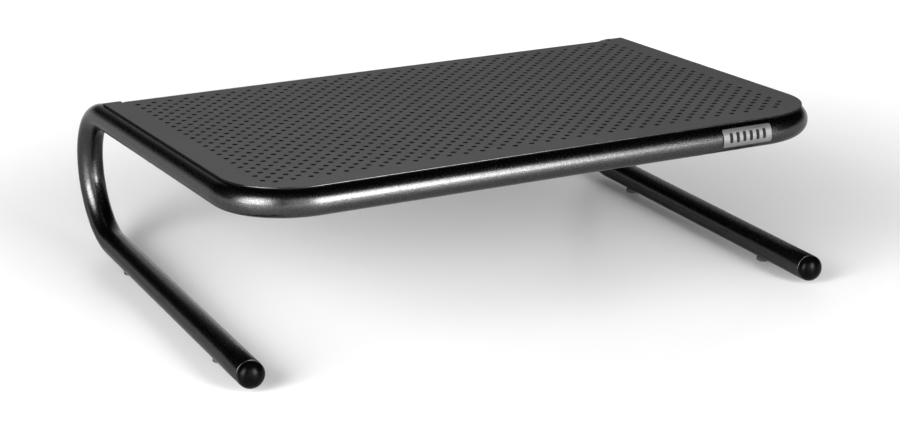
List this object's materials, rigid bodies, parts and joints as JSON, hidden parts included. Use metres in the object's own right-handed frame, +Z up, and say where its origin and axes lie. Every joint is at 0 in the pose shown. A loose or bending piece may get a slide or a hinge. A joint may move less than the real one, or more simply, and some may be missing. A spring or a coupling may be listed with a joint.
{
  "type": "monitor riser stand",
  "caption": "Low desktop riser: perforated steel deck on one bent steel tube whose ends form two long feet, with domed end caps and rubber bumpers.",
  "frame": {"origin": "on the desk, under the middle of the stand's bounding box", "axes": "+X to the right as the user sees it, -Y to the front where the feet end, +Z up"},
  "size_m": [0.3764, 0.2824, 0.1108],
  "materials": {
    "tube_paint": "gloss black with a fine pearl flake",
    "deck_paint": "satin dark grey powder coat",
    "cap_plastic": "gloss black moulded plastic",
    "bumper_rubber": "matt black rubber",
    "nameplate_foil": "satin silver foil, blank",
    "weld_paint": "painted over weld metal"
  },
  "bodies": {
    "root": {"frame_tube": "tube_paint", "deck_plate": "deck_paint", "end_cap_left": "cap_plastic", "end_cap_right": "cap_plastic", "bumper_left_front": "bumper_rubber", "bumper_left_rear": "bumper_rubber", "bumper_right_front": "bumper_rubber", "bumper_right_rear": "bumper_rubber", "nameplate": "nameplate_foil", "weld_left_rear": "weld_paint", "weld_left_middle": "weld_paint", "weld_left_front": "weld_paint", "weld_right_rear": "weld_paint", "weld_right_middle": "weld_paint", "weld_right_front": "weld_paint", "weld_front_left": "weld_paint", "weld_front_middle": "weld_paint", "weld_front_right": "weld_paint"}
  },
  "joints": []
}
